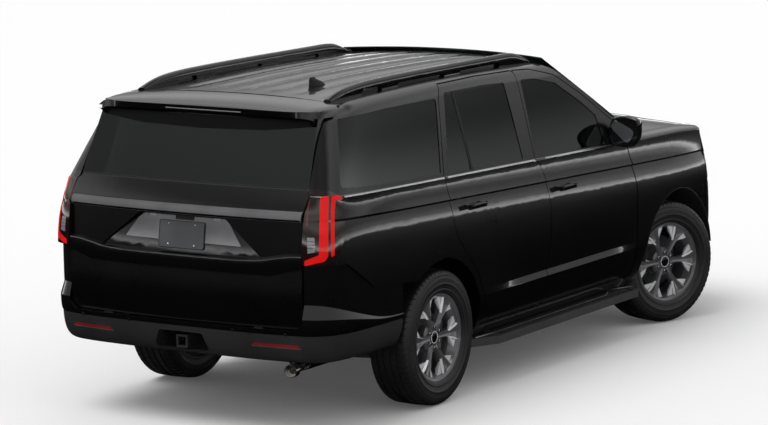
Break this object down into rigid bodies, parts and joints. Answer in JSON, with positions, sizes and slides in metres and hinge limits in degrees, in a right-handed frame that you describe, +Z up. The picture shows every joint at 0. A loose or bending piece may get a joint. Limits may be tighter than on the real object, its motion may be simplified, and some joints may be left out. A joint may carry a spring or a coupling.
{
  "type": "sport utility vehicle",
  "caption": "Full-size three-row sport utility vehicle on a ladder frame, with hinged doors, split tail gate, bonnet, steering and rolling wheels.",
  "frame": {"origin": "on the ground, below the middle of the overall length, on the centre plane", "axes": "+X to the vehicle's right, +Y forwards, +Z up"},
  "size_m": [2.2958, 5.3256, 1.9445],
  "materials": {
    "body_paint": "gloss",
    "gloss_black": "gloss",
    "black_plastic": "textured",
    "lamp_red": "gloss",
    "lamp_clear": "gloss",
    "tinted_glass": "dark tint",
    "black_steel": "satin",
    "exhaust_steel": "polished tip",
    "cast_metal": "cast",
    "upholstery": "satin",
    "cabin_plastic": "matt",
    "tyre": "matt",
    "wheel_alloy": "machined and dark painted"
  },
  "bodies": {
    "body": {"body_side_right": "body_paint", "body_side_left": "body_paint", "roof_panel": "body_paint", "front_fenders": "body_paint", "rear_bumper": "body_paint", "front_bumper": "body_paint", "roof_rails": "gloss_black", "roof_antenna": "gloss_black", "grille": "gloss_black", "rear_valance": "black_plastic", "running_boards": "black_plastic", "wheel_liners": "black_plastic", "tail_lamps": "lamp_red", "headlamps": "lamp_clear", "windscreen": "tinted_glass", "quarter_glass": "tinted_glass", "cowl": "black_steel", "floor_pan": "black_steel", "ladder_frame": "black_steel", "suspension": "black_steel", "exhaust": "exhaust_steel", "engine_block": "cast_metal", "front_seats": "upholstery", "rear_seats": "upholstery", "dashboard": "cabin_plastic", "knuckle_rear_right": "cast_metal", "knuckle_rear_left": "cast_metal"},
    "front_door_right": {"front_door_right": "body_paint", "front_door_glass_right": "tinted_glass", "mirror_right": "gloss_black"},
    "front_door_left": {"front_door_left": "body_paint", "front_door_glass_left": "tinted_glass", "mirror_left": "gloss_black"},
    "rear_door_right": {"rear_door_right": "body_paint", "rear_door_glass_right": "tinted_glass"},
    "rear_door_left": {"rear_door_left": "body_paint", "rear_door_glass_left": "tinted_glass"},
    "liftgate": {"liftgate": "body_paint", "liftgate_glass": "tinted_glass"},
    "tailgate": {"tailgate": "body_paint"},
    "hood": {"hood": "body_paint"},
    "steer_right": {"knuckle_front_right": "cast_metal"},
    "steer_left": {"knuckle_front_left": "cast_metal"},
    "wheel_front_right": {"wheel_front_right": "wheel_alloy", "tyre_front_right": "tyre"},
    "wheel_front_left": {"wheel_front_left": "wheel_alloy", "tyre_front_left": "tyre"},
    "wheel_rear_right": {"wheel_rear_right": "wheel_alloy", "tyre_rear_right": "tyre"},
    "wheel_rear_left": {"wheel_rear_left": "wheel_alloy", "tyre_rear_left": "tyre"}
  },
  "joints": [
    {"name": "steer_right", "type": "hinge", "parent": "body", "child": "steer_right", "pos_m": [0.742, 1.715, 0.405], "axis": [0, 0, 1], "range_deg": [-13, 53]},
    {"name": "steer_left", "type": "hinge", "parent": "body", "child": "steer_left", "pos_m": [-0.742, 1.715, 0.405], "axis": [0, 0, 1], "range_deg": [-13, 53]},
    {"name": "wheel_front_right_spin", "type": "hinge", "parent": "steer_right", "child": "wheel_front_right", "pos_m": [0.84912, 1.67601, 0.405], "axis": [0.9397, -0.342, 0], "continuous": true},
    {"name": "wheel_front_left_spin", "type": "hinge", "parent": "steer_left", "child": "wheel_front_left", "pos_m": [-0.84912, 1.75399, 0.405], "axis": [0.9397, -0.342, 0], "continuous": true},
    {"name": "wheel_rear_right_spin", "type": "hinge", "parent": "body", "child": "wheel_rear_right", "pos_m": [0.856, -1.397, 0.405], "axis": [1, 0, 0], "continuous": true},
    {"name": "wheel_rear_left_spin", "type": "hinge", "parent": "body", "child": "wheel_rear_left", "pos_m": [-0.856, -1.397, 0.405], "axis": [1, 0, 0], "continuous": true},
    {"name": "front_door_right_swing", "type": "hinge", "parent": "body", "child": "front_door_right", "pos_m": [1.0125, 1.095, 0.78], "axis": [0, 0, 1], "range_deg": [0, 68]},
    {"name": "front_door_left_swing", "type": "hinge", "parent": "body", "child": "front_door_left", "pos_m": [-1.0125, 1.095, 0.78], "axis": [0, 0, -1], "range_deg": [0, 68]},
    {"name": "rear_door_right_swing", "type": "hinge", "parent": "body", "child": "rear_door_right", "pos_m": [1.0125, -0.075, 0.78], "axis": [0, 0, 1], "range_deg": [0, 68]},
    {"name": "rear_door_left_swing", "type": "hinge", "parent": "body", "child": "rear_door_left", "pos_m": [-1.0125, -0.075, 0.78], "axis": [0, 0, -1], "range_deg": [0, 68]},
    {"name": "liftgate_lift", "type": "hinge", "parent": "body", "child": "liftgate", "pos_m": [0, -2.088, 1.884], "axis": [-1, 0, 0], "range_deg": [0, 85]},
    {"name": "tailgate_fold", "type": "hinge", "parent": "body", "child": "tailgate", "pos_m": [0, -2.65, 0.64], "axis": [1, 0, 0], "range_deg": [0, 90]},
    {"name": "hood_lift", "type": "hinge", "parent": "body", "child": "hood", "pos_m": [0, 1.252, 1.337], "axis": [1, 0, 0], "range_deg": [0, 55]}
  ],
  "couplings": [
    {"joint": "steer_left", "follows": "steer_right", "ratio": 1}
  ]
}
